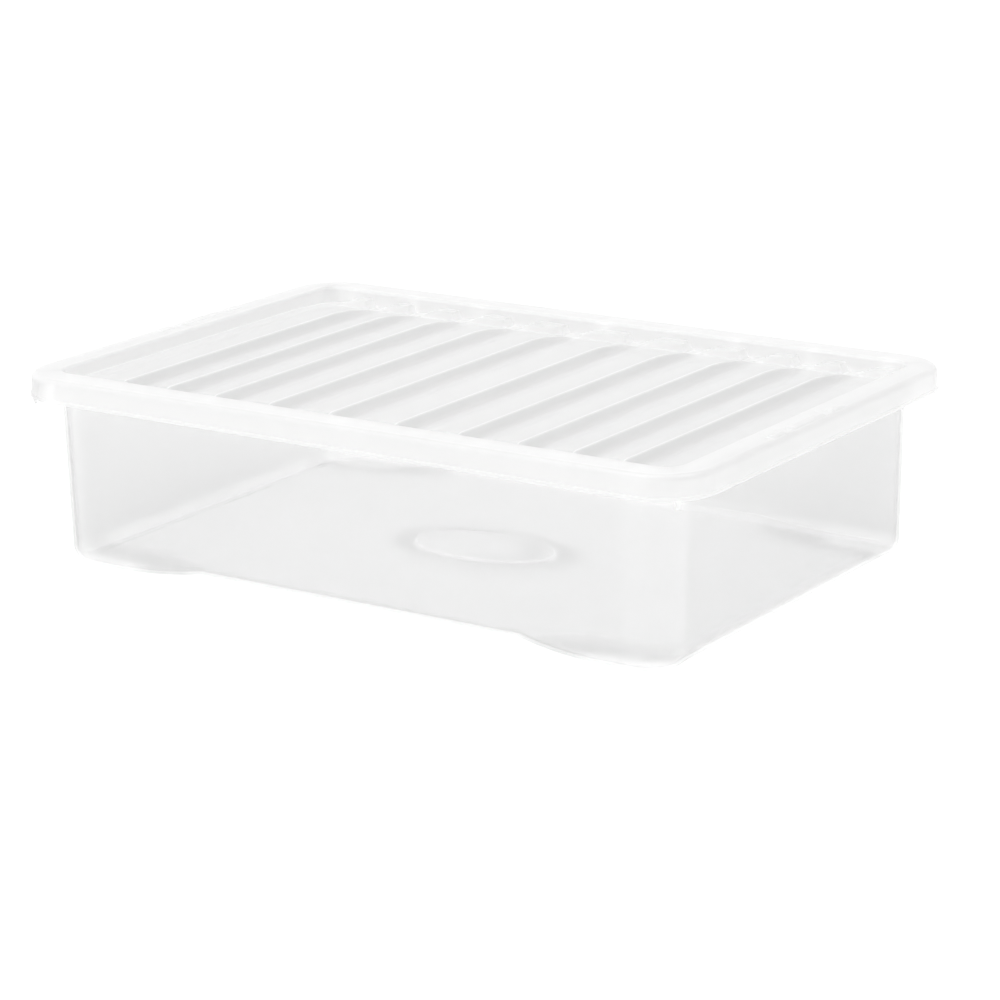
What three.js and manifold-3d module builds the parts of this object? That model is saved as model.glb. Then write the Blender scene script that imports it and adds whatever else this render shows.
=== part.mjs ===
// Under bed box: a shallow see-through tub and the ribbed lid that lifts off it.
// Millimetres, +Z up, origin at the middle of the footprint on the surface it stands on.
import * as THREE from 'three';
import { mergeVertices } from 'three/addons/utils/BufferGeometryUtils.js';
import Module from 'manifold-3d';

const wasm = await Module();
wasm.setup();

// ---- driving dimensions -------------------------------------------------------------------
const LID_LENGTH = 600;
const LID_WIDTH = 400;
const LID_CORNER = 42;
const LID_TOP = 148.5;
const SKIRT_DEPTH = 18.2;
const SHEET = 2;

const FOOT_LENGTH = 544.4;
const FOOT_WIDTH = 367;
const FOOT_CORNER = 30;
const DRAFT = Math.tan(THREE.MathUtils.degToRad(1.3));

const RIM_LONG = 28;
const RIM_END = 26;
const RECESS_CORNER = 14;
const RECESS_DEPTH = 12.5;
const RIB_RISE = 6.7;

// ---- values that follow from them ---------------------------------------------------------
const CORNER_STEPS = 8;
const STATIONS = [0, 90, 140, 147, 155, 165, 177, 192, 210, 232];
const SHOULDER = 5;
const SKIRT_FLARE = 1.5;
const SKIRT_Z = LID_TOP - SKIRT_DEPTH;
const PANEL_Z = LID_TOP - RECESS_DEPTH;
const RECESS_X = LID_LENGTH / 2 - RIM_END;
const RECESS_Y = LID_WIDTH / 2 - RIM_LONG;

const EDGE_RADIUS = 12;
const LONG_EDGE_RADIUS = 23;
const BASE_RISE = 4.5;
const END_BAND_Z = 1;
const END_BAND_WIDTH = 15;
const STEP_Z = SKIRT_Z - 5;
const STEP_OUT = { x: 8, y: 3 };
const FLANGE_GAP = 3.2;
const LIFT_GAP = 0.3;
const FLANGE_TOP = LID_TOP - SHEET - LIFT_GAP;
const FLANGE_X = LID_LENGTH / 2 - SHEET - FLANGE_GAP - SKIRT_FLARE;
const FLANGE_Y = LID_WIDTH / 2 - SHEET - FLANGE_GAP - SKIRT_FLARE;
const FLANGE_CORNER = LID_CORNER - SHEET - FLANGE_GAP - SKIRT_FLARE;

const FOOT_AT = { x: 236, y: 168 };
const FOOT_REACH = { x: 92, y: 38 };
const FOOT_FLAT = 0.2;

const RIB_PITCH = 59.4;
const RIB_PITCH_STEP = 4.4;
const RIBS_EACH_SIDE = 5;
const RISER = 4;
const SCOOP = 24;

const SADDLE_Y = RECESS_Y - 12;
const SADDLE_GAP = 11;
const GUSSETS_LONG = [-251, -185, -118, 0, 118, 185, 251];
const GUSSETS_END = [-151, -44, 0, 44, 151];
const GUSSET = { thick: 1.4, out: 4, drop: 10 };
const TOOTH = { thick: 1.6, out: 5, below: 6 };
const LUG = { centre: 20, out: 7, rise: 1.2, spans: [[-52, -33.5], [-24.5, 24.5], [33.5, 52]] };

const OVAL = { x: 62, y: 36, rise: 1.2 };

// ---- helpers ------------------------------------------------------------------------------
function outline({ x, y, r }) {
  // a rounded rectangle, anticlockwise, as points with their outward normals; the count of
  // points is the same for every size, and the long sides have stations where the base changes
  const points = [];
  const add = (px, py, nx, ny) => points.push({ x: px, y: py, nx, ny });
  const corner = (number) => {
    const right = number === 0 || number === 3;
    const cx = (right ? 1 : -1) * (x - r);
    const cy = (number < 2 ? 1 : -1) * (y - r);
    for (let step = 0; step <= CORNER_STEPS; step += 1) {
      const angle = (number + step / CORNER_STEPS) * Math.PI / 2;
      const [nx, ny] = [Math.cos(angle), Math.sin(angle)];
      add(cx + r * nx, cy + r * ny, nx, ny);
    }
  };
  const stations = [...STATIONS.slice(1).reverse().map((at) => -at), ...STATIONS];
  corner(0);
  [...stations].reverse().forEach((at) => add(at, y, 0, 1));
  corner(1);
  corner(2);
  stations.forEach((at) => add(at, -y, 0, -1));
  corner(3);
  return points;
}

function levelRing(level) {
  return outline(level).map(({ x, y }) => new THREE.Vector3(x, y, level.z));
}

function loft(rings, { ring = false } = {}) {
  // skin a list of outlines; the ends are capped, or joined to each other for a ring
  const count = rings[0].length;
  const positions = rings.flat().flatMap((point) => point.toArray());
  const index = [];
  const bands = ring ? rings.length : rings.length - 1;
  for (let band = 0; band < bands; band += 1) {
    const low = band * count;
    const high = ((band + 1) % rings.length) * count;
    for (let side = 0; side < count; side += 1) {
      const next = (side + 1) % count;
      index.push(low + side, low + next, high + next);
      index.push(low + side, high + next, high + side);
    }
  }
  if (!ring) {
    const last = rings.length - 1;
    const bottom = positions.length / 3;
    positions.push(0, 0, 0, 0, 0, rings[last][0].z);
    for (let side = 0; side < count; side += 1) {
      const next = (side + 1) % count;
      index.push(bottom, next, side);
      index.push(bottom + 1, last * count + side, last * count + next);
    }
  }
  const geometry = new THREE.BufferGeometry();
  geometry.setAttribute('position', new THREE.Float32BufferAttribute(positions, 3));
  geometry.setIndex(index);
  return geometry;
}

function solid(geometry) {
  const bare = geometry.clone();
  bare.deleteAttribute('normal');
  bare.deleteAttribute('uv');
  const merged = mergeVertices(bare, 1e-4);
  return new wasm.Manifold(new wasm.Mesh({
    numProp: 3,
    vertProperties: new Float32Array(merged.attributes.position.array),
    triVerts: new Uint32Array(merged.index.array),
  }));
}

function geometryOf(manifold) {
  const mesh = manifold.getMesh();
  const geometry = new THREE.BufferGeometry();
  geometry.setAttribute('position', new THREE.BufferAttribute(mesh.vertProperties, 3));
  geometry.setIndex(new THREE.BufferAttribute(mesh.triVerts, 1));
  geometry.computeVertexNormals();
  return geometry;
}

function block(x0, x1, y0, y1, z0, z1) {
  const box = new THREE.BoxGeometry(x1 - x0, y1 - y0, z1 - z0);
  box.translate((x0 + x1) / 2, (y0 + y1) / 2, (z0 + z1) / 2);
  return solid(box);
}

function inset(level, by, z = level.z) {
  return { x: level.x - by, y: level.y - by, r: Math.max(level.r - by, 0.5), z };
}

function joined(solids) {
  return solids.reduce((whole, next) => whole.add(next));
}

const FOUR_CORNERS = [[1, 1], [-1, 1], [-1, -1], [1, -1]];

// ---- tub ----------------------------------------------------------------------------------
function wallAt(z) {
  const lean = Math.max(z - EDGE_RADIUS, 0) * DRAFT;
  return { x: FOOT_LENGTH / 2 + lean, y: FOOT_WIDTH / 2 + lean, r: FOOT_CORNER + lean, z };
}

function bowlRise(reach) {
  // a foot is flat at its middle and flares out to the raised base: 0 there, 1 at its rim
  return THREE.MathUtils.clamp((reach - FOOT_FLAT) / (1 - FOOT_FLAT), 0, 1) ** 2;
}

function raised(x) {
  // how far the base has risen at x along a long side: 0 over the feet, 1 between them
  return bowlRise(Math.max(FOOT_AT.x - Math.abs(x), 0) / FOOT_REACH.x);
}

function roundedFoot(sheet) {
  // the rounded edge between the wall and the base, moved inwards by the sheet's thickness;
  // it is rounder and higher along the raised middle of each long side
  return [0, 1, 2, 3, 4].map((step) => {
    const angle = step / 4 * Math.PI / 2;
    return outline(wallAt(0)).map(({ x, y, nx, ny }) => {
      const rise = raised(x) * Math.abs(ny);
      const round = EDGE_RADIUS + (LONG_EDGE_RADIUS - EDGE_RADIUS) * rise;
      const back = sheet + (round - sheet) * (1 - Math.sin(angle));
      const z = BASE_RISE * rise + round - (round - sheet) * Math.cos(angle);
      return new THREE.Vector3(x - nx * back, y - ny * back, z);
    });
  });
}

function neckAt(z) {
  // the wall above the outward step, which carries the flange
  const wall = wallAt(z);
  return { x: wall.x + STEP_OUT.x, y: wall.y + STEP_OUT.y, r: wall.r + STEP_OUT.y, z };
}

function tubShell() {
  const under = wallAt(STEP_Z);
  const step = neckAt(STEP_Z + 3);
  const high = neckAt(FLANGE_TOP);
  const edge = { x: FLANGE_X, y: FLANGE_Y, r: FLANGE_CORNER };
  const levels = [
    under,
    step,
    { ...high, z: FLANGE_TOP - SHEET },
    { ...edge, z: FLANGE_TOP - SHEET },
    { ...edge, z: FLANGE_TOP },
    inset(high, SHEET),
    inset(step, SHEET, step.z + SHEET),
    inset(wallAt(STEP_Z + SHEET), SHEET),
    inset(wallAt(LONG_EDGE_RADIUS + BASE_RISE + 1), SHEET),
  ];
  const floor = BASE_RISE + SHEET;
  const inside = roundedFoot(SHEET).reverse();
  inside.forEach((ring) => ring.forEach((point) => {
    point.z = Math.max(point.z, floor);
  }));
  return loft([...roundedFoot(0), ...levels.map(levelRing), ...inside]);
}

function footBowl(drop) {
  // a shallow bowl of unit reach, stretched over one foot
  const profile = [];
  [0, FOOT_FLAT, 0.35, 0.5, 0.62, 0.74, 0.87, 1].forEach((reach) => {
    profile.push(new THREE.Vector2(reach, BASE_RISE * bowlRise(reach)));
  });
  profile.push(new THREE.Vector2(1, BASE_RISE + 1));
  profile.push(new THREE.Vector2(0, BASE_RISE + 1));
  const bowl = new THREE.LatheGeometry(profile, 40);
  bowl.rotateX(Math.PI / 2);
  bowl.scale(FOOT_REACH.x, FOOT_REACH.y, 1);
  bowl.translate(0, 0, drop);
  return bowl;
}

function footBowls(drop) {
  return joined(FOUR_CORNERS.map(([side, end]) => {
    const bowl = footBowl(drop);
    bowl.translate(side * FOOT_AT.x, end * FOOT_AT.y, 0);
    return solid(bowl);
  }));
}

function raisedBase() {
  // the space under the box, between its four feet and its two end bands
  const band = FOOT_LENGTH / 2 - END_BAND_WIDTH;
  const reach = LID_LENGTH / 2;
  const middle = block(-band, band, -reach, reach, -1, BASE_RISE);
  const ends = block(-reach, reach, -reach, reach, -1, END_BAND_Z);
  return middle.add(ends).subtract(footBowls(0));
}

function wells() {
  // the hollows inside the feet and the end bands, one sheet above their undersides
  const band = FOOT_LENGTH / 2 - END_BAND_WIDTH + SHEET;
  const reach = LID_LENGTH / 2;
  const top = BASE_RISE + SHEET + 1;
  const above = levelRing(inset(wallAt(LONG_EDGE_RADIUS + BASE_RISE + 1), SHEET));
  const inside = solid(loft([...roundedFoot(SHEET), above]));
  const bands = block(band, reach, -reach, reach, END_BAND_Z + SHEET, top)
    .add(block(-reach, -band, -reach, reach, END_BAND_Z + SHEET, top));
  return inside.intersect(footBowls(SHEET).add(bands));
}

function gateOval() {
  // the shallow oval step in the middle of the floor
  const oval = new THREE.CylinderGeometry(1, 1, OVAL.rise + SHEET, 48);
  oval.rotateX(Math.PI / 2);
  oval.scale(OVAL.x, OVAL.y, 1);
  oval.translate(0, 0, BASE_RISE + (SHEET + OVAL.rise) / 2);
  return solid(oval);
}

function tub() {
  const shell = solid(tubShell());
  return shell.subtract(raisedBase()).subtract(wells()).add(gateOval());
}

// ---- lid ----------------------------------------------------------------------------------
function lidRim() {
  // skirt, rounded shoulder, flat rim and recess wall, as one closed section swept round
  const bottom = { x: LID_LENGTH / 2, y: LID_WIDTH / 2, r: LID_CORNER, z: SKIRT_Z };
  const recess = { x: RECESS_X, y: RECESS_Y, r: RECESS_CORNER, z: LID_TOP };
  const shoulder = [0, 1, 2, 3].map((step) => {
    const angle = step / 3 * Math.PI / 2;
    const level = inset(bottom, SKIRT_FLARE + SHOULDER * (1 - Math.cos(angle)));
    return { ...level, z: LID_TOP - SHOULDER * (1 - Math.sin(angle)) };
  });
  const innerTop = inset(bottom, SKIRT_FLARE + SHOULDER);
  return loft([
    bottom,
    ...shoulder,
    recess,
    { ...recess, z: PANEL_Z - SHEET },
    inset(recess, -SHEET, PANEL_Z - SHEET),
    inset(recess, -SHEET, LID_TOP - SHEET),
    { ...innerTop, z: LID_TOP - SHEET },
    inset(bottom, SKIRT_FLARE + SHEET, LID_TOP - SHOULDER),
    inset(bottom, SHEET, SKIRT_Z),
  ].map(levelRing), { ring: true });
}

function crests() {
  // rib crests are widest apart at the middle of the lid and close up towards its ends
  const half = [];
  let x = RIB_PITCH / 2;
  for (let rib = 0; rib < RIBS_EACH_SIDE; rib += 1) {
    half.push(x);
    x += RIB_PITCH - (rib + 1) * RIB_PITCH_STEP;
  }
  return [...half.map((at) => -at).reverse(), ...half];
}

function panelProfile() {
  // saw-tooth section: a steep drop after each crest, a scoop, then a plank up to the next
  const low = PANEL_Z;
  const points = [[-RECESS_X - SHEET / 2, low + 1]];
  const scooped = (from, to) => {
    const length = Math.min(SCOOP, (to - from) * 0.6);
    points.push([from + length * 0.5, low + RIB_RISE * 0.35]);
    points.push([from + length, low + RIB_RISE * 0.85]);
  };
  let from = -RECESS_X + RISER;
  crests().forEach((crest) => {
    points.push([from, low]);
    scooped(from, crest);
    points.push([crest, low + RIB_RISE]);
    from = crest + RISER;
  });
  points.push([from, low]);
  points.push([from + SCOOP, low + RIB_RISE * 0.6]);
  points.push([RECESS_X + SHEET / 2, low + RIB_RISE * 0.6]);
  return points;
}

function lidPanel() {
  const top = panelProfile();
  const shape = new THREE.Shape();
  top.forEach(([x, z], at) => (at ? shape.lineTo(x, z) : shape.moveTo(x, z)));
  [...top].reverse().forEach(([x, z]) => shape.lineTo(x, z - SHEET));
  const length = 2 * (RECESS_Y + SHEET / 2);
  const sheet = new THREE.ExtrudeGeometry(shape, { depth: length, bevelEnabled: false });
  sheet.rotateX(Math.PI / 2);
  sheet.translate(0, length / 2, 0);
  const corner = { x: RECESS_X + 1, y: RECESS_Y + 1, r: RECESS_CORNER + 1 };
  const ends = [{ ...corner, z: 0 }, { ...corner, z: LID_TOP }];
  const plug = loft(ends.map(levelRing));
  return solid(sheet).intersect(solid(plug));
}

function saddles() {
  // low blocks along the foot of the long recess walls, open where each scoop runs out
  const stops = [-RECESS_X + RISER, ...crests(), RECESS_X];
  const blocks = [];
  for (let at = 0; at < stops.length - 1; at += 1) {
    const from = stops[at] + SADDLE_GAP;
    const to = at < stops.length - 2 ? stops[at + 1] : RECESS_X - RECESS_CORNER;
    const low = PANEL_Z - SHEET;
    const high = PANEL_Z + RIB_RISE;
    blocks.push(block(from, to, SADDLE_Y, RECESS_Y + 1, low, high));
    blocks.push(block(from, to, -RECESS_Y - 1, -SADDLE_Y, low, high));
  }
  return joined(blocks);
}

function gussets() {
  // thin ribs on the back of the recess wall, which centre the lid in the tub
  const { thick, out, drop } = GUSSET;
  const z = [LID_TOP - SHEET - drop, LID_TOP - SHEET / 2];
  const plates = [];
  const fromY = RECESS_Y + SHEET / 2;
  const fromX = RECESS_X + SHEET / 2;
  GUSSETS_LONG.forEach((x) => {
    const [x0, x1] = [x - thick / 2, x + thick / 2];
    plates.push(block(x0, x1, fromY, RECESS_Y + SHEET + out, ...z));
    plates.push(block(x0, x1, -RECESS_Y - SHEET - out, -fromY, ...z));
  });
  GUSSETS_END.forEach((y) => {
    const [y0, y1] = [y - thick / 2, y + thick / 2];
    plates.push(block(fromX, RECESS_X + SHEET + out / 2, y0, y1, ...z));
    plates.push(block(-RECESS_X - SHEET - out / 2, -fromX, y0, y1, ...z));
  });
  return joined(plates);
}

function teeth() {
  // one pointed rib across each rounded corner, standing below the skirt
  const { thick, out, below } = TOOTH;
  const reach = LID_CORNER - SHEET / 2;
  const shape = new THREE.Shape();
  shape.moveTo(reach - out, SKIRT_Z + 6);
  shape.lineTo(reach - out + 1.5, SKIRT_Z - below);
  shape.lineTo(reach - 1.5, SKIRT_Z - below);
  shape.lineTo(reach, SKIRT_Z);
  shape.lineTo(reach, SKIRT_Z + 6);
  return joined(FOUR_CORNERS.map(([side, end]) => {
    const tooth = new THREE.ExtrudeGeometry(shape, { depth: thick, bevelEnabled: false });
    tooth.translate(0, 0, -thick / 2);
    tooth.rotateX(Math.PI / 2);
    tooth.rotateZ(Math.atan2(end, side));
    const x = side * (LID_LENGTH / 2 - LID_CORNER);
    const y = end * (LID_WIDTH / 2 - LID_CORNER);
    tooth.translate(x, y, 0);
    return solid(tooth);
  }));
}

function lugs() {
  // three low pads on the rim at each end, off centre by the same amount both ways round
  const pads = [];
  [-1, 1].forEach((end) => {
    LUG.spans.forEach(([from, to]) => {
      const outer = LID_LENGTH / 2 - SKIRT_FLARE - SHOULDER;
      const xs = [end * outer, end * (outer - LUG.out)].sort((a, b) => a - b);
      const ys = [-end * (LUG.centre + from), -end * (LUG.centre + to)].sort((a, b) => a - b);
      pads.push(block(...xs, ...ys, LID_TOP - SHEET / 2, LID_TOP + LUG.rise));
    });
  });
  return joined(pads);
}

function lid() {
  const rim = solid(lidRim());
  return joined([rim, lidPanel(), saddles(), gussets(), teeth(), lugs()]);
}

// ---- assembly -----------------------------------------------------------------------------
function piece(name, manifold, material) {
  const mesh = new THREE.Mesh(geometryOf(manifold), material);
  mesh.name = name;
  return mesh;
}

const clearTub = new THREE.MeshStandardMaterial({
  color: 0xeef0f0, roughness: 0.18, metalness: 0, transparent: true, opacity: 0.35,
});
const clearLid = new THREE.MeshStandardMaterial({
  color: 0xf4f5f5, roughness: 0.3, metalness: 0, transparent: true, opacity: 0.55,
});

const group = new THREE.Group();
group.add(piece('tub', tub(), clearTub));
group.add(piece('lid', lid(), clearLid));

export default group;
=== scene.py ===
"""An under bed box: a see-through moulded tub with low feet, and its ribbed lift-off lid.

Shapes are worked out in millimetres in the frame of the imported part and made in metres.
"""

import math

import bmesh
import bpy
import numpy as np
from mathutils import Matrix, Vector


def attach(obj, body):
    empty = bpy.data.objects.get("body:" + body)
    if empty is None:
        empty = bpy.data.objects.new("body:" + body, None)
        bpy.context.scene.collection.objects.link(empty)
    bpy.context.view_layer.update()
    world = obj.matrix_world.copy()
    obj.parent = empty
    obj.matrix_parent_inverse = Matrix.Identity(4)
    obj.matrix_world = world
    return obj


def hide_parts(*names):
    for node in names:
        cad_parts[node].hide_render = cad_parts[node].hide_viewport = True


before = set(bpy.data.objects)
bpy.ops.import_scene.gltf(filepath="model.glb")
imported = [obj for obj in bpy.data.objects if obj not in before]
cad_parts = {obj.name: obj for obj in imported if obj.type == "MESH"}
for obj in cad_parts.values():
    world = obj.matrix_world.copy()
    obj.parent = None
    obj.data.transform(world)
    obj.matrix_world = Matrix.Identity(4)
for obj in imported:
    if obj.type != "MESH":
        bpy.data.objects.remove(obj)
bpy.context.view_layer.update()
MM = 0.001

# ---- sizes, in millimetres ------------------------------------------------------------------
SHEET = 2.0  # thickness of both mouldings

# Lid: half its length and width, and the radius of its corners.
LID_X, LID_Y, LID_CORNER = 300.0, 200.0, 42.0
LID_TOP = 148.5
SKIRT_Z = 130.3
SHOULDER, FLARE, BEAD = 5.0, 1.5, 0.8
RECESS_X, RECESS_Y, RECESS_CORNER = 274.0, 172.0, 14.0
LIP = 3.0
PANEL_Z = 136.0
RIB_RISE = 6.7
RIB_PITCH, RIB_PITCH_STEP, RIBS_EACH_SIDE = 59.4, 4.4, 5
# Across a rib: its riser, the low trough at the foot of that, and the scoop up to the plank.
RISER, TROUGH, SCOOP = 10.5, 6.0, 24.0
CREST_ROUND, RISER_POWER = 1.2, 2.8
SCOOP_SHARE = 0.88  # how much of the rise the scoop makes; the plank makes the rest
SCOOP_LIMIT = 0.68  # the most of a narrow rib that the scoop takes, after the trough
END_RISER = 0.3  # how high the end wall's riser is, as a share of a rib's
# Where the ribs start to run out towards the long walls, and the power of that curve.
BACK_CREST_END, BACK_DROP = 110.0, 1.7
FRONT_CREST_END, FRONT_DROP = 150.0, 2.0
# The low blocks beyond the ribs: where they start, their long ramp, and their sloped end face.
SADDLE_Y = 160.0
SADDLE_RAMP, SADDLE_FACE = (3.0, 30.0), (4.4, 3.4)
GUSSET_X = (-251, -185, -118, 0, 118, 185, 251)
GUSSET_Y = (-151, -44, 0, 44, 151)
GUSSET_HALF = 0.7
TOOTH_DROP, TOOTH_HALF = 6.0, 1.8
PADS_Y = ((-52, -33.5), (-24.5, 24.5), (33.5, 52))
PADS_SHIFT = 20.0
PAD_HALF_X = 4.4
PAD_RINGS = (  # how far each ring is drawn in, and its height
    (0.0, LID_TOP - 1.0),
    (0.0, LID_TOP - 0.1),
    (0.7, LID_TOP + 0.4),
    (1.5, LID_TOP + 0.8),
    (2.4, LID_TOP + 1.1),
    (3.2, LID_TOP + 1.2),
)

# Tub: half its length and width at the foot, and the radius of its corners.
FOOT_X, FOOT_Y, FOOT_CORNER = 272.2, 183.5, 30.0
DRAFT = math.tan(math.radians(1.3))
EDGE_RADIUS, LONG_EDGE_RADIUS = 12.0, 23.0
BASE_RISE = 4.5
END_BAND_Z, END_BAND_X = 1.0, 257.2
FOOT_AT, FOOT_REACH = (236.0, 168.0), (92.0, 38.0)
FOOT_FLAT = 0.2
STEP_Z = SKIRT_Z - 5
STEP_OUT = (8.0, 3.0)
FLANGE_TOP = 146.2
FLANGE = (293.3, 193.3, 35.3)
OVAL, OVAL_RISE = (62.0, 36.0), 1.2

# Where the meshes have their lines.
TUB_STEPS = (110, 64, 12)  # along a long side, a short side and a corner
LID_STEPS = (40, 26, 14)
FLOOR_RINGS, FLOOR_SPLIT = 34, 0.3
EDGE_ANGLES = (0, 11, 21, 28, 31, 33, 35, 38, 45, 56, 67, 78, 90)
WALL_HEIGHTS = (34, 48, 62, 76, 90, 105, 118)
CREST_LINES = (
    -4.4, -3.4, -2.4, -1.7, -1.0, -0.35, 0.0, 0.2, 0.6,
    1.0, 1.4, 1.9, 2.4, 2.9, 3.5, 4.0, 5.0,
)
SADDLE_LINES = (157, 158, 158.8, 159.5, 160, 160.5, 161, 162, 164, 167, 170, 173)
SHARP = math.radians(32)


# ---- mesh helpers ---------------------------------------------------------------------------
def smooth(edge0, edge1, value):
    """0 below edge0, 1 above edge1, and an S curve between them."""
    t = np.clip((value - edge0) / (edge1 - edge0), 0.0, 1.0)
    return t * t * (3 - 2 * t)


def rounded_rectangle(x, y, r, long_steps, short_steps, corner_steps):
    """Points and outward normals of a rounded rectangle, anticlockwise from +X towards +Y."""
    rows = []
    corners = ((1, 1), (-1, 1), (-1, -1), (1, -1))
    for number, (sx, sy) in enumerate(corners):
        for step in range(corner_steps + 1):
            angle = (number + step / corner_steps) * math.pi / 2
            nx, ny = math.cos(angle), math.sin(angle)
            rows.append((sx * (x - r) + r * nx, sy * (y - r) + r * ny, nx, ny))
        steps = long_steps if number % 2 == 0 else short_steps
        turn = (number + 1) * math.pi / 2
        nx, ny = round(math.cos(turn)), round(math.sin(turn))
        for step in range(1, steps):
            t = 1 - 2 * step / steps
            if number % 2 == 0:
                rows.append((sx * t * (x - r), ny * y, nx, ny))
            else:
                rows.append((nx * x, sy * t * (y - r), nx, ny))
    return np.array(rows)


def skin(rings, closed):
    """Faces between rings of points. closed joins the last ring to the first."""
    count = len(rings[0])
    faces = []
    bands = len(rings) if closed else len(rings) - 1
    side = np.arange(count)
    after = (side + 1) % count
    for band in range(bands):
        low = band * count
        high = (band + 1) % len(rings) * count
        faces.append(np.stack([low + side, low + after, high + after, high + side], 1))
    return np.concatenate(faces)


def make_object(name, points, faces):
    """A mesh object from points in millimetres."""
    mesh = bpy.data.meshes.new(name)
    mesh.from_pydata([tuple(p) for p in np.asarray(points) * MM], [], [tuple(f) for f in faces])
    mesh.validate()
    piece = bpy.data.objects.new(name, mesh)
    bpy.context.scene.collection.objects.link(piece)
    return piece


def capped(name, rings):
    """A solid skinned over rings of points and closed at both ends."""
    count = len(rings[0])
    faces = [tuple(f) for f in skin(rings, False)]
    faces.append(tuple(range(count))[::-1])
    faces.append(tuple(range(len(rings) * count - count, len(rings) * count)))
    return make_object(name, np.concatenate(rings), faces)


def cleaned(piece, distance):
    """Merges points closer than distance, in millimetres, and drops faces with no area."""
    bm = bmesh.new()
    bm.from_mesh(piece.data)
    bmesh.ops.remove_doubles(bm, verts=bm.verts, dist=distance * MM)
    bmesh.ops.dissolve_degenerate(bm, edges=bm.edges, dist=distance * MM)
    bmesh.ops.recalc_face_normals(bm, faces=bm.faces)
    bm.to_mesh(piece.data)
    bm.free()


def combined(piece, others, operation):
    """Adds others to piece, or cuts it by them, and removes them."""
    for other in others:
        change = piece.modifiers.new("combine", "BOOLEAN")
        change.operation = operation
        change.solver = "MANIFOLD"
        change.object = other
    shape = bpy.data.meshes.new_from_object(
        piece.evaluated_get(bpy.context.evaluated_depsgraph_get())
    )
    piece.modifiers.clear()
    piece.data = shape
    for other in others:
        bpy.data.objects.remove(other)


def block(name, x, y, z):
    """A box between pairs of limits."""
    corners = [(a, b, c) for c in z for b in y for a in x]
    faces = [(0, 2, 3, 1), (4, 5, 7, 6), (0, 1, 5, 4), (2, 6, 7, 3), (0, 4, 6, 2), (1, 3, 7, 5)]
    return make_object(name, corners, faces)


# ---- tub ------------------------------------------------------------------------------------
def foot_distance(x, y):
    """How far the nearest foot's middle is, in shares of its reach: along X, and in all."""
    dx = np.maximum(FOOT_AT[0] - np.abs(x), 0) / FOOT_REACH[0]
    dy = np.maximum(FOOT_AT[1] - np.abs(y), 0) / FOOT_REACH[1]
    return dx, np.hypot(dx, dy)


def bowl(reach):
    """How far a foot has flared out to the raised base: 0 at its flat middle, 1 at its rim."""
    return np.clip((reach - FOOT_FLAT) / (1 - FOOT_FLAT), 0, 1) ** 2


def edge_radius(rise):
    """Radius of the floor's edge, which is larger where the long sides' base is raised."""
    return EDGE_RADIUS + (LONG_EDGE_RADIUS - EDGE_RADIUS) * rise


def underside(x, y):
    """Height of the underside of the floor: low at the feet and the end bands."""
    high = BASE_RISE * bowl(foot_distance(x, y)[1])
    band = np.minimum(high, END_BAND_Z)
    share = smooth(END_BAND_X - 3, END_BAND_X + 1, np.abs(x))
    return high + (band - high) * share


def floor_detail(x, y):
    """What the inner face of the floor adds over the sheet: the oval step round the gate."""
    reach = np.hypot(x / OVAL[0], y / OVAL[1])
    return OVAL_RISE * (1 - smooth(0.93, 1.0, reach))


def tub_outline(x, y, r):
    return rounded_rectangle(x, y, r, *TUB_STEPS)


def tub_rings(sheet):
    """Rings of one face of the tub, from the middle of the floor to the top of its curved edge."""
    base = tub_outline(FOOT_X, FOOT_Y, FOOT_CORNER)
    px, py, nx, ny = base.T
    radius = edge_radius(bowl(foot_distance(px, py)[0]) * np.abs(ny))
    inner = np.stack([px - nx * radius, py - ny * radius], 1)
    ends = np.stack([np.clip(px / (FOOT_X - FOOT_CORNER), -1, 1) * (FOOT_X - FOOT_Y), 0 * px], 1)
    low = underside(inner[:, 0], inner[:, 1]) + sheet
    rings = []
    outer_shares = np.linspace(1, FLOOR_SPLIT, FLOOR_RINGS)
    inner_shares = np.linspace(FLOOR_SPLIT, 0, FLOOR_RINGS)
    shares = np.concatenate([outer_shares[:-1], inner_shares])
    for share in reversed(shares[1:]):
        at = ends + (inner - ends) * share
        z = underside(at[:, 0], at[:, 1]) + sheet
        if sheet:
            z = z + floor_detail(at[:, 0], at[:, 1])
        rings.append(np.column_stack([at, z]))
    for angle in np.radians(EDGE_ANGLES):
        back = sheet + (radius - sheet) * (1 - math.sin(angle))
        z = low + (radius - sheet) * (1 - math.cos(angle))
        rings.append(np.column_stack([px - nx * back, py - ny * back, z]))
    return rings


def level(outline, z):
    """A ring of points: an outline at one height."""
    return np.column_stack([outline[:, :2], np.full(len(outline), z)])


def wall_ring(z, sheet, out=(0, 0)):
    """A ring of the drafted wall, drawn in by the sheet and stepped out by out."""
    lean = (z - EDGE_RADIUS) * DRAFT
    outline = tub_outline(
        FOOT_X + lean + out[0] - sheet,
        FOOT_Y + lean + out[1] - sheet,
        FOOT_CORNER + lean + out[1] - sheet,
    )
    return level(outline, z)


def flange_ring(inset, z):
    return level(tub_outline(*[size - inset for size in FLANGE]), z)


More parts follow.
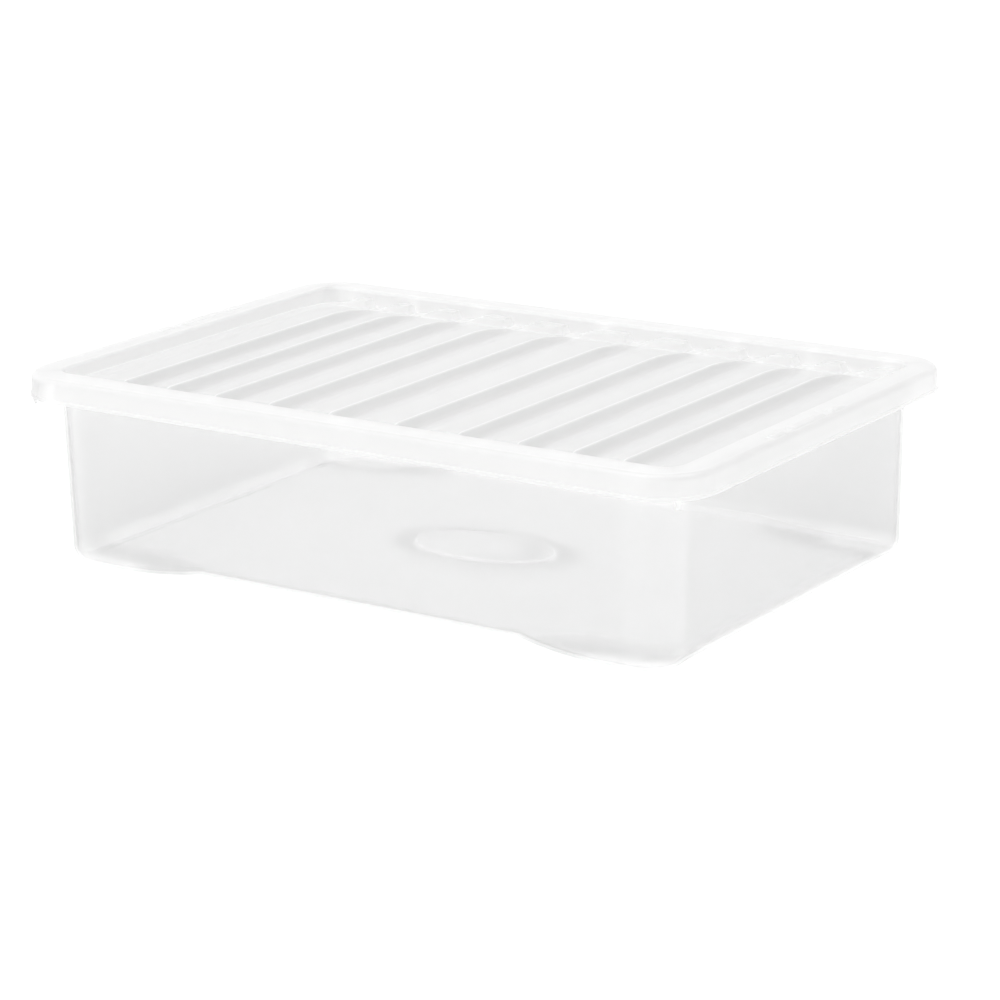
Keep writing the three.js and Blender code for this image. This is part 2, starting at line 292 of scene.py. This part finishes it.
def make_tub():
    foot = (0.8, 0.4)
    shoulder = (STEP_OUT[0] - 1.2, STEP_OUT[1] - 0.6)
    outside = [wall_ring(z, 0.0) for z in WALL_HEIGHTS]
    outside += [
        wall_ring(STEP_Z - 1.5, 0.0),
        wall_ring(STEP_Z, 0.0, foot),
        wall_ring(STEP_Z + 2.2, 0.0, shoulder),
        wall_ring(STEP_Z + 3.4, 0.0, STEP_OUT),
        wall_ring(FLANGE_TOP - SHEET - 1.2, 0.0, STEP_OUT),
        wall_ring(FLANGE_TOP - SHEET, 0.0, (STEP_OUT[0] + 1.0, STEP_OUT[1] + 0.6)),
        flange_ring(0.5, FLANGE_TOP - SHEET),
        flange_ring(0.0, FLANGE_TOP - SHEET + 0.5),
        flange_ring(0.0, FLANGE_TOP - 0.6),
        flange_ring(0.6, FLANGE_TOP),
    ]
    inside = [
        wall_ring(FLANGE_TOP, SHEET - 1.0, STEP_OUT),
        wall_ring(FLANGE_TOP - 1.0, SHEET, STEP_OUT),
        wall_ring(STEP_Z + SHEET + 3.4, SHEET, STEP_OUT),
        wall_ring(STEP_Z + SHEET + 2.2, SHEET, shoulder),
        wall_ring(STEP_Z + SHEET, SHEET, foot),
        wall_ring(STEP_Z + SHEET - 1.5, SHEET),
    ]
    inside += [wall_ring(z, SHEET) for z in reversed(WALL_HEIGHTS)]
    rings = tub_rings(0.0) + outside + inside + tub_rings(SHEET)[::-1]
    piece = make_object("tub_shell", np.concatenate(rings), skin(rings, False))
    cleaned(piece, 0.02)
    return piece


# ---- lid ------------------------------------------------------------------------------------
def crests():
    """Where the rib crests are: widest apart at the middle of the lid."""
    half, x = [], RIB_PITCH / 2
    for rib in range(RIBS_EACH_SIDE):
        half.append(x)
        x += RIB_PITCH - (rib + 1) * RIB_PITCH_STEP
    return [-x for x in reversed(half)] + half


CRESTS = crests()


def rib_section(x):
    """Height of the ribbed panel over its low level, as a share of the rise."""
    starts = [-RECESS_X, *CRESTS]
    stops = [*CRESTS, RECESS_X + 22]
    share = np.zeros_like(x)
    for start, stop in zip(starts, stops):
        inside = (x >= start) & (x < stop)
        along = x[inside] - start
        scoop = min(SCOOP, (stop - start - TROUGH) * SCOOP_LIMIT)
        t = np.clip((along - TROUGH) / scoop, 0, 1)
        up = SCOOP_SHARE * (t * t * (1.9 - 0.9 * t))
        rest = stop - start - TROUGH - scoop
        plank = (1 - SCOOP_SHARE) * np.clip((along - TROUGH - scoop) / rest, 0, 1)
        down = along * along / (along + CREST_ROUND)
        riser = (1 - np.clip(down / RISER, 0, 1)) ** RISER_POWER
        if start == -RECESS_X:
            riser = riser * END_RISER
        share[inside] = riser + (up + plank) * (1 - riser)
    return share


def panel_height(x, y):
    """Height of the top face of the sunken panel."""
    start = np.where(y > 0, BACK_CREST_END, FRONT_CREST_END)
    drop = np.where(y > 0, BACK_DROP, FRONT_DROP)
    ends = 1 - np.clip((np.abs(y) - start) / (SADDLE_Y - 1 - start), 0, 1) ** drop
    ribs = rib_section(x) * ends
    return PANEL_Z + RIB_RISE * np.maximum(ribs, saddle_height(x, y))


def saddle_height(x, y):
    """The low blocks along the foot of the long walls, open where each scoop runs out."""
    high = np.zeros_like(x)
    starts = [-RECESS_X + 8, *CRESTS]
    stops = [*CRESTS, RECESS_X + 30]
    for start, stop in zip(starts, stops):
        left = smooth(start + SADDLE_RAMP[0], start + SADDLE_RAMP[1], x)
        right = 1 - np.clip((x - stop + SADDLE_FACE[0]) / SADDLE_FACE[1], 0, 1)
        high = np.maximum(high, left * right)
    return high * smooth(SADDLE_Y - 1.0, SADDLE_Y + 1.8, np.abs(y))


def panel_lines():
    """Grid lines of the panel, closer together where it curves."""
    xs = []
    starts = [-RECESS_X, *CRESTS]
    stops = [*CRESTS, RECESS_X + 1]
    for start, stop in zip(starts, stops):
        xs += [start + at for at in CREST_LINES]
        last = min(start + TROUGH + SCOOP, stop - 2)
        xs += list(np.arange(start + 6.4, last, 1.9))
        xs += list(np.linspace(last, stop - 5.4, max(int((stop - last) / 6), 2)))
    xs = np.array(sorted(x for x in xs if abs(x) < RECESS_X + 0.9))
    keep = np.concatenate([[True], np.diff(xs) > 0.15])
    xs = np.concatenate([[-RECESS_X - 1], xs[keep], [RECESS_X + 1]])
    half = [*np.arange(6, 105, 11.0), *np.arange(108, 156, 3.0), *SADDLE_LINES]
    return xs, np.array([-y for y in reversed(half)] + half)


def make_panel():
    xs, ys = panel_lines()
    gx, gy = np.meshgrid(xs, ys, indexing="ij")
    top = panel_height(gx.ravel(), gy.ravel())
    flat = np.column_stack([gx.ravel(), gy.ravel()])
    points = np.concatenate([np.column_stack([flat, top]), np.column_stack([flat, top - SHEET])])
    rows, columns = gx.shape
    count = rows * columns
    i = np.arange(rows - 1)[:, None]
    j = np.arange(columns - 1)[None, :]
    at = (i * columns + j).ravel()
    above = np.stack([at, at + columns, at + columns + 1, at + 1], 1)
    below = np.stack([at, at + 1, at + columns + 1, at + columns], 1) + count
    border = np.concatenate([
        np.arange(rows) * columns,
        (rows - 1) * columns + np.arange(1, columns),
        np.arange(rows - 2, -1, -1) * columns + columns - 1,
        np.arange(columns - 2, 0, -1),
    ])
    after = np.roll(border, -1)
    rim = np.stack([border + count, after + count, after, border], 1)
    sheet = make_object("panel", points, np.concatenate([above, below, rim]))
    outline = rounded_rectangle(RECESS_X + 1, RECESS_Y + 1, RECESS_CORNER + 1, 2, 2, 12)
    plug = capped("plug", [level(outline, z) for z in (PANEL_Z - 12, LID_TOP + 12)])
    combined(sheet, [plug], "INTERSECT")
    return sheet


def lid_ring(x, y, r, z):
    return level(rounded_rectangle(x, y, r, *LID_STEPS), z)


def outer_ring(inset, z):
    return lid_ring(LID_X - inset, LID_Y - inset, LID_CORNER - inset, z)


def recess_ring(inset, z):
    return lid_ring(RECESS_X - inset, RECESS_Y - inset, max(RECESS_CORNER - inset, 1), z)


def make_rim():
    skirt = [
        outer_ring(0.7, SKIRT_Z),
        outer_ring(0.2, SKIRT_Z + 0.2),
        outer_ring(0.0, SKIRT_Z + 0.8),
        outer_ring(0.0, SKIRT_Z + 1.8),
        outer_ring(0.25, SKIRT_Z + 2.4),
        outer_ring(0.25 + BEAD, SKIRT_Z + 2.9),
        outer_ring(FLARE - 0.1, LID_TOP - SHOULDER - 1.5),
    ]
    for angle in np.linspace(0, math.pi / 2, 8):
        inset = FLARE + SHOULDER * (1 - math.cos(angle))
        skirt.append(outer_ring(inset, LID_TOP - SHOULDER * (1 - math.sin(angle))))
    lip = []
    for angle in np.linspace(0, math.pi / 2, 7):
        out, down = LIP * (1 - math.sin(angle)), LIP * (1 - math.cos(angle))
        lip.append(recess_ring(-out, LID_TOP - down))
    wall = [
        recess_ring(0.6, PANEL_Z + 1.2),
        recess_ring(0.9, PANEL_Z + 0.3),
        recess_ring(0.9, PANEL_Z - SHEET + 0.4),
        recess_ring(0.5, PANEL_Z - SHEET),
        recess_ring(-SHEET, PANEL_Z - SHEET),
        recess_ring(-SHEET, LID_TOP - SHEET),
    ]
    under = [
        outer_ring(FLARE + SHOULDER, LID_TOP - SHEET),
        outer_ring(FLARE + SHEET + 0.8, LID_TOP - SHEET - 1.0),
        outer_ring(FLARE + SHEET, LID_TOP - SHOULDER),
        outer_ring(SHEET, SKIRT_Z + 0.2),
        outer_ring(SHEET - 0.3, SKIRT_Z),
    ]
    rings = skirt + lip + wall + under
    return make_object("rim", np.concatenate(rings), skin(rings, True))


def make_gussets():
    """Thin ribs on the back of the recess wall."""
    z = (LID_TOP - SHEET - 10, LID_TOP - SHEET / 2)
    plates = []
    for x in GUSSET_X:
        for side in (-1, 1):
            y = sorted((side * (RECESS_Y + 1), side * (RECESS_Y + SHEET + 4)))
            plates.append(block("gusset", (x - GUSSET_HALF, x + GUSSET_HALF), y, z))
    for y in GUSSET_Y:
        for side in (-1, 1):
            x = sorted((side * (RECESS_X + 1), side * (RECESS_X + SHEET + 2)))
            plates.append(block("gusset", x, (y - GUSSET_HALF, y + GUSSET_HALF), z))
    return plates


def make_teeth():
    """A pointed rib across each rounded corner, standing below the skirt."""
    reach = LID_CORNER - 1
    side_view = [
        (reach - 5, SKIRT_Z + 6),
        (reach - 3.6, SKIRT_Z - TOOTH_DROP + 0.8),
        (reach - 3.0, SKIRT_Z - TOOTH_DROP),
        (reach - 2.1, SKIRT_Z - TOOTH_DROP),
        (reach - 1.5, SKIRT_Z - TOOTH_DROP + 0.8),
        (reach, SKIRT_Z),
        (reach, SKIRT_Z + 6),
    ]
    count = len(side_view)
    teeth = []
    for sx, sy in ((1, 1), (-1, 1), (-1, -1), (1, -1)):
        turn = math.atan2(sy, sx)
        along = Vector((math.cos(turn), math.sin(turn)))
        across = Vector((-along.y, along.x)) * TOOTH_HALF
        centre = Vector((sx * (LID_X - LID_CORNER), sy * (LID_Y - LID_CORNER)))
        points = []
        for side in (-1, 1):
            for out, z in side_view:
                at = centre + along * out + across * side
                points.append((at.x, at.y, z))
        faces = [tuple(range(count)), tuple(range(2 * count - 1, count - 1, -1))]
        faces += [(i, i + count, (i + 1) % count + count, (i + 1) % count) for i in range(count)]
        tooth = make_object("tooth", points, faces)
        cleaned(tooth, 0.001)
        teeth.append(tooth)
    return teeth


def make_pads():
    """Three low pads on the rim at each end."""
    pads = []
    outer = LID_X - FLARE - SHOULDER + 1.4
    for end in (-1, 1):
        for start, stop in PADS_Y:
            centre = (end * (outer - PAD_HALF_X), -end * (PADS_SHIFT + (start + stop) / 2))
            half_y = (stop - start) / 2
            rings = []
            for inset, z in PAD_RINGS:
                x, y, r = PAD_HALF_X - inset, half_y - inset, 2.0 - inset / 2.5
                rings.append(level(rounded_rectangle(x, y, r, 2, 2, 5)[:, :2] + centre, z))
            pad = capped("pad", rings)
            cleaned(pad, 0.001)
            pads.append(pad)
    return pads


def make_lid():
    piece = make_rim()
    cleaned(piece, 0.001)
    piece.name = "lid_shell"
    combined(piece, [make_panel(), *make_gussets(), *make_teeth(), *make_pads()], "UNION")
    cleaned(piece, 0.01)
    return piece


# ---- materials ------------------------------------------------------------------------------
# How milky each part of the tub and the lid is, from 0 at the clearest to 1 at the whitest. The
# amount added at the tub's rounded corners is a painted sheen, and the values for the rib crests
# and for the blocks' end faces are painted highlights.
WALL, FLOOR, CORNER_SHEEN = 0.255, 0.66, 0.10
PLANK, CREST_HIGHLIGHT, SADDLE, SADDLE_END_HIGHLIGHT, RECESS_WALL, RIM = 0.54, 0.87, 0.60, 0.68, 0.69, 0.74
# Painted shade, taken off how milky the plastic is: a share of it on the foot flanks, round the
# oval and on the risers, and an amount at the lid's two left corners.
FLANK_SHADE, OVAL_SHADE, RISER_SHADE = 0.4, 0.4, 0.38
LEFT_CORNER_SHADE = 0.2
EDGE_GLINT = math.radians(33)  # where the floor's back edge catches the light, round its curve


FLOW_SCALE, FLOW_DETAIL = 9.0, 2.0  # broad unevenness of the moulding
GRAIN_DETAIL, GRAIN_DEPTH = 3.0, 0.0004
ROUGH_SPREAD, HAZE_SPREAD = (0.88, 1.15), (0.93, 1.07)
FACE_ON, EDGE_ON = 0.45, 0.75  # between these the plastic goes from its thin to its full cover
GLINT_FROM, GLINT_COVER = 0.85, 0.35  # extra cover where it is milkiest
LIGHT_THROUGH = 0.45
PLASTIC_IOR = 1.49


def number(nodes, kind, **values):
    """A shader node of a kind with some of its inputs set, spaces in their names as _."""
    node = nodes.new(kind)
    for name, value in values.items():
        node.inputs[name.replace("_", " ")].default_value = value
    return node


def plastic(name, tints, alphas, roughness, grain, bumpy):
    """See-through moulded plastic, whiter where it is milky and more solid seen edge on.

    tints: grey where it is clearest and where it is whitest. alphas: how much it covers, seen
    face on and edge on.
    """
    material = bpy.data.materials.new(name)
    material.use_nodes = True
    nodes, links = material.node_tree.nodes, material.node_tree.links
    nodes.clear()
    output = nodes.new("ShaderNodeOutputMaterial")
    place = nodes.new("ShaderNodeTexCoord")

    flow = number(nodes, "ShaderNodeTexNoise", Scale=FLOW_SCALE, Detail=FLOW_DETAIL)
    links.new(place.outputs["Object"], flow.inputs["Vector"])
    fine = number(nodes, "ShaderNodeTexNoise", Scale=grain, Detail=GRAIN_DETAIL)
    links.new(place.outputs["Object"], fine.inputs["Vector"])
    bump = number(nodes, "ShaderNodeBump", Strength=bumpy, Distance=GRAIN_DEPTH)
    links.new(fine.outputs["Fac"], bump.inputs["Height"])
    smoothest, roughest = (roughness * spread for spread in ROUGH_SPREAD)
    rough = number(nodes, "ShaderNodeMapRange", To_Min=smoothest, To_Max=roughest)
    links.new(flow.outputs["Fac"], rough.inputs["Value"])

    # How milky each point is, with painted light and shade in the same values.
    milkiness_and_light = nodes.new("ShaderNodeAttribute")
    milkiness_and_light.attribute_name = "milkiness_and_light"
    tint = number(nodes, "ShaderNodeMapRange", To_Min=tints[0], To_Max=tints[1])
    links.new(milkiness_and_light.outputs["Fac"], tint.inputs["Value"])

    facing = number(nodes, "ShaderNodeLayerWeight", Blend=0.5)
    solid = number(
        nodes,
        "ShaderNodeMapRange",
        From_Min=FACE_ON,
        From_Max=EDGE_ON,
        To_Min=alphas[0],
        To_Max=alphas[1],
    )
    links.new(facing.outputs["Facing"], solid.inputs["Value"])
    haze = number(nodes, "ShaderNodeMapRange", To_Min=HAZE_SPREAD[0], To_Max=HAZE_SPREAD[1])
    links.new(flow.outputs["Fac"], haze.inputs["Value"])
    edge = number(nodes, "ShaderNodeMapRange", From_Min=GLINT_FROM, To_Max=GLINT_COVER)
    links.new(milkiness_and_light.outputs["Fac"], edge.inputs["Value"])
    share = nodes.new("ShaderNodeMath")
    share.operation = "MULTIPLY_ADD"
    share.use_clamp = True
    links.new(solid.outputs["Result"], share.inputs[0])
    links.new(haze.outputs["Result"], share.inputs[1])
    links.new(edge.outputs["Result"], share.inputs[2])

    body = number(nodes, "ShaderNodeBsdfPrincipled", IOR=PLASTIC_IOR)
    links.new(tint.outputs["Result"], body.inputs["Base Color"])
    links.new(rough.outputs["Result"], body.inputs["Roughness"])
    links.new(bump.outputs["Normal"], body.inputs["Normal"])
    through = nodes.new("ShaderNodeBsdfTranslucent")
    links.new(tint.outputs["Result"], through.inputs["Color"])
    milky = number(nodes, "ShaderNodeMixShader", Fac=LIGHT_THROUGH)
    links.new(body.outputs["BSDF"], milky.inputs[1])
    links.new(through.outputs["BSDF"], milky.inputs[2])

    clear = nodes.new("ShaderNodeBsdfTransparent")
    mixed = nodes.new("ShaderNodeMixShader")
    links.new(share.outputs["Value"], mixed.inputs["Fac"])
    links.new(clear.outputs["BSDF"], mixed.inputs[1])
    links.new(milky.outputs["Shader"], mixed.inputs[2])
    links.new(mixed.outputs["Shader"], output.inputs["Surface"])
    return material


def tub_milkiness_and_light(x, y, z):
    """Clear walls and a whiter floor, with painted shade on the foot flanks and round the oval,
    and painted highlights: a line in each foot, a line on the oval's edge, a sheen on the rounded
    corners and a glint along the floor's back edge.
    """
    floor = WALL + (FLOOR - WALL) * (1 - smooth(7.6, 11.0, z))
    dx, reach = foot_distance(x, y)
    low = 1 - smooth(8.0, 10.0, z)
    # Painted shade: the curved flanks of the feet are made clearer, so they look darker.
    flank_shade = smooth(0.3, 0.5, reach) * (1 - smooth(0.85, 1.02, reach)) * low
    value = floor * (1 - FLANK_SHADE * flank_shade)
    # Painted highlight: a bright line round the flat middle of each foot, and another on the
    # oval's edge.
    ring = np.exp(-(((reach - 0.24) / 0.03) ** 2)) * low
    oval = np.hypot(x / OVAL[0], y / OVAL[1])
    # Painted shade: a darker band just outside the oval, and a darker stripe inside it towards +X.
    halo_shade = smooth(0.98, 1.06, oval) * (1 - smooth(1.1, 1.5, oval)) * low
    value = value * (1 - OVAL_SHADE * halo_shade)
    dip_shade = np.exp(-(((oval - 0.72) / 0.14) ** 2)) * smooth(-20, 30, x) * low
    value = value * (1 - OVAL_SHADE * dip_shade)
    ring = np.maximum(ring, np.exp(-(((oval - 0.97) / 0.04) ** 2)) * low)
    # Painted sheen: the rounded corners of the walls are made milkier.
    corner = np.hypot(
        np.maximum(np.abs(x) - FOOT_X + FOOT_CORNER, 0),
        np.maximum(np.abs(y) - FOOT_Y + FOOT_CORNER, 0),
    )
    rounded = smooth(FOOT_CORNER - 12, FOOT_CORNER - 2, corner)
    rounded = rounded * (np.abs(y) > FOOT_Y - FOOT_CORNER) * (np.abs(x) > FOOT_X - FOOT_CORNER)
    value = value + CORNER_SHEEN * rounded
    # Painted highlight: a bright line round the curve of the floor's back edge.
    rise = bowl(dx)
    radius = edge_radius(rise) - SHEET
    edge_z = BASE_RISE * rise + SHEET + radius * (1 - math.cos(EDGE_GLINT))
    edge_y = FOOT_Y - SHEET - radius * (1 - math.sin(EDGE_GLINT))
    back = np.exp(-(((z - edge_z) / 0.8) ** 2) - ((y - edge_y) / 1.1) ** 2)
    return np.maximum(value, np.maximum(ring, back))


def lid_milkiness_and_light(x, y, z):
    """A white rim and a clearer panel, with painted shade on the risers and on the skirt's two
    left corners, and painted highlights: a bright line on each crest, lighter end faces on the
    blocks and the gusset plates painted white.
    """
    wall = np.maximum(
        smooth(RECESS_X - 1.5, RECESS_X - 0.2, np.abs(x)),
        smooth(RECESS_Y - 1.5, RECESS_Y - 0.2, np.abs(y)),
    )
    rim = np.maximum(
        smooth(RECESS_X + 0.3, RECESS_X + 2.5, np.abs(x)),
        smooth(RECESS_Y + 0.3, RECESS_Y + 2.5, np.abs(y)),
    )
    panel = np.full_like(x, PLANK)
    # Painted shade: each riser is made clearer, so it looks darker, fading out away from its
    # crest.
    for crest in CRESTS:
        under = smooth(0.3, 1.5, x - crest) * (1 - smooth(5.0, 16.0, x - crest))
        inner = 1 - smooth(SADDLE_Y - 3, SADDLE_Y - 1, np.abs(y))
        panel = panel * (1 - RISER_SHADE * under * inner)
    # Painted highlight: a bright line along each crest.
    for crest in CRESTS:
        crest_glint = 1 - smooth(0.4, 1.1, np.abs(x - crest + 0.1))
        panel = np.maximum(panel, crest_glint * smooth(PANEL_Z + 3, PANEL_Z + 6, z) * CREST_HIGHLIGHT)
    saddle = smooth(SADDLE_Y - 2, SADDLE_Y - 1, np.abs(y)) * SADDLE
    at_saddle = smooth(SADDLE_Y - 1, SADDLE_Y, np.abs(y))
    # Painted highlight: the sloped end face of each block is made lighter.
    for stop in [*CRESTS, RECESS_X + 30]:
        lit_end_face = smooth(stop - 5.0, stop - 4.2, x) * (1 - smooth(stop - 1.2, stop - 0.6, x))
        saddle = np.maximum(saddle, lit_end_face * at_saddle * SADDLE_END_HIGHLIGHT)
    inside = np.maximum(panel, saddle) * (1 - wall) + wall * RECESS_WALL
    value = inside * (1 - rim) + rim * RIM
    # Painted shade: the skirt at the two left (-X) corners is made clearer, so it looks darker.
    across, down = -x - LID_X + LID_CORNER, np.abs(y) - LID_Y + LID_CORNER
    left = smooth(0, 12, across) * (down > 0) * (np.hypot(across, down) > LID_CORNER - 9)
    value = value - LEFT_CORNER_SHADE * left * (1 - smooth(LID_TOP - 5, LID_TOP - 1.5, z))
    # Painted highlight: the gusset plates behind the long recess walls are painted full white.
    behind = (np.abs(y) > RECESS_Y + 0.5) & (np.abs(y) < RECESS_Y + SHEET + 5)
    behind &= z < LID_TOP - SHEET + 0.2
    for gusset in GUSSET_X:
        value = np.where(behind & (np.abs(x - gusset) < 1), 1.0, value)
    return value


def dress(piece, material, milkiness_and_light, body, node):
    """Shades a piece, stores how milky each of its points is, with the painted light and shade in
    the same values, attaches it to its body and hides its imported part.
    """
    for polygon in piece.data.polygons:
        polygon.use_smooth = True
    piece.data.set_sharp_from_angle(angle=SHARP)
    points = np.zeros(len(piece.data.vertices) * 3)
    piece.data.vertices.foreach_get("co", points)
    values = milkiness_and_light(*(points.reshape(-1, 3).T / MM))
    layer = piece.data.attributes.new("milkiness_and_light", "FLOAT", "POINT")
    layer.data.foreach_set("value", values.astype(np.float32))
    piece.data.materials.clear()
    piece.data.materials.append(material)
    piece.visible_shadow = False
    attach(piece, body)
    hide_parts(node)


TUB_PLASTIC = plastic(
    "clear_tub_plastic",
    tints=(0.30, 0.95),
    alphas=(0.17, 0.32),
    roughness=0.16,
    grain=60.0,
    bumpy=0.03,
)
LID_PLASTIC = plastic(
    "frosted_lid_plastic",
    tints=(0.52, 0.95),
    alphas=(0.58, 0.76),
    roughness=0.33,
    grain=400.0,
    bumpy=0.06,
)
dress(make_tub(), TUB_PLASTIC, tub_milkiness_and_light, "tub", "tub")
dress(make_lid(), LID_PLASTIC, lid_milkiness_and_light, "lid", "lid")


# ---- stage, light and camera ----------------------------------------------------------------
FLOOR_HALF = 9000.0  # in millimetres
FLOOR_GAP = 0.0003  # metres under the feet
FLOOR_GREY = 0.86
SKY_AT_HORIZON, SKY_OVERHEAD = 0.85, 1.07
SUN_ENERGY, SUN_ANGLE = 1.35, math.radians(24)
SUN_TOWARDS = (0.33, 0.37, -0.87)

# The camera, fitted to the photograph's perspective: place in metres, turns in degrees.
CAMERA_AT = (1.401, -2.027, 0.7484)
CAMERA_AZIMUTH, CAMERA_ELEVATION, CAMERA_ROLL = -34.37, 15.97, -1.03
FOCAL_LENGTH, SENSOR_WIDTH = 120.53, 36.0
VIEW_END = 40.0


def make_stage():
    signs = ((-1, -1), (1, -1), (1, 1), (-1, 1))
    corners = [(sx * FLOOR_HALF, sy * FLOOR_HALF, 0) for sx, sy in signs]
    floor = make_object("floor", corners, [(0, 1, 2, 3)])
    floor.location.z = -FLOOR_GAP
    pale = bpy.data.materials.new("pale_floor")
    pale.use_nodes = True
    shader = pale.node_tree.nodes["Principled BSDF"]
    shader.inputs["Base Color"].default_value = (FLOOR_GREY, FLOOR_GREY, FLOOR_GREY, 1)
    shader.inputs["Roughness"].default_value = 0.9
    shader.inputs["Specular IOR Level"].default_value = 0.1
    floor.data.materials.append(pale)

    world = bpy.data.worlds.new("studio")
    bpy.context.scene.world = world
    world.use_nodes = True
    nodes, links = world.node_tree.nodes, world.node_tree.links
    place = nodes.new("ShaderNodeTexCoord")
    split = nodes.new("ShaderNodeSeparateXYZ")
    height = number(nodes, "ShaderNodeMapRange", To_Min=SKY_AT_HORIZON, To_Max=SKY_OVERHEAD)
    links.new(place.outputs["Generated"], split.inputs["Vector"])
    links.new(split.outputs["Z"], height.inputs["Value"])
    links.new(height.outputs["Result"], nodes["Background"].inputs["Strength"])
    nodes["Background"].inputs["Color"].default_value = (1, 1, 1, 1)

    key = bpy.data.lights.new("key", "SUN")
    key.energy = SUN_ENERGY
    key.angle = SUN_ANGLE
    lamp = bpy.data.objects.new("key", key)
    lamp.rotation_euler = Vector(SUN_TOWARDS).to_track_quat("-Z", "Y").to_euler()
    bpy.context.scene.collection.objects.link(lamp)


def make_camera():
    azimuth = math.radians(CAMERA_AZIMUTH)
    elevation = math.radians(CAMERA_ELEVATION)
    roll = math.radians(CAMERA_ROLL)
    ahead = Vector((
        math.sin(azimuth) * math.cos(elevation),
        math.cos(azimuth) * math.cos(elevation),
        -math.sin(elevation),
    ))
    right = Vector((math.cos(azimuth), -math.sin(azimuth), 0))
    up = right.cross(ahead)
    turned_right = right * math.cos(roll) + up * math.sin(roll)
    turned_up = up * math.cos(roll) - right * math.sin(roll)
    lens = bpy.data.cameras.new("camera")
    lens.lens = FOCAL_LENGTH
    lens.sensor_width = SENSOR_WIDTH
    lens.clip_end = VIEW_END
    camera = bpy.data.objects.new("camera", lens)
    turn = Matrix((turned_right, turned_up, -ahead)).transposed().to_4x4()
    camera.matrix_world = Matrix.Translation(CAMERA_AT) @ turn
    bpy.context.scene.collection.objects.link(camera)
    bpy.context.scene.camera = camera


make_stage()
make_camera()
bpy.context.scene.view_settings.view_transform = "Standard"

bpy.context.view_layer.update()
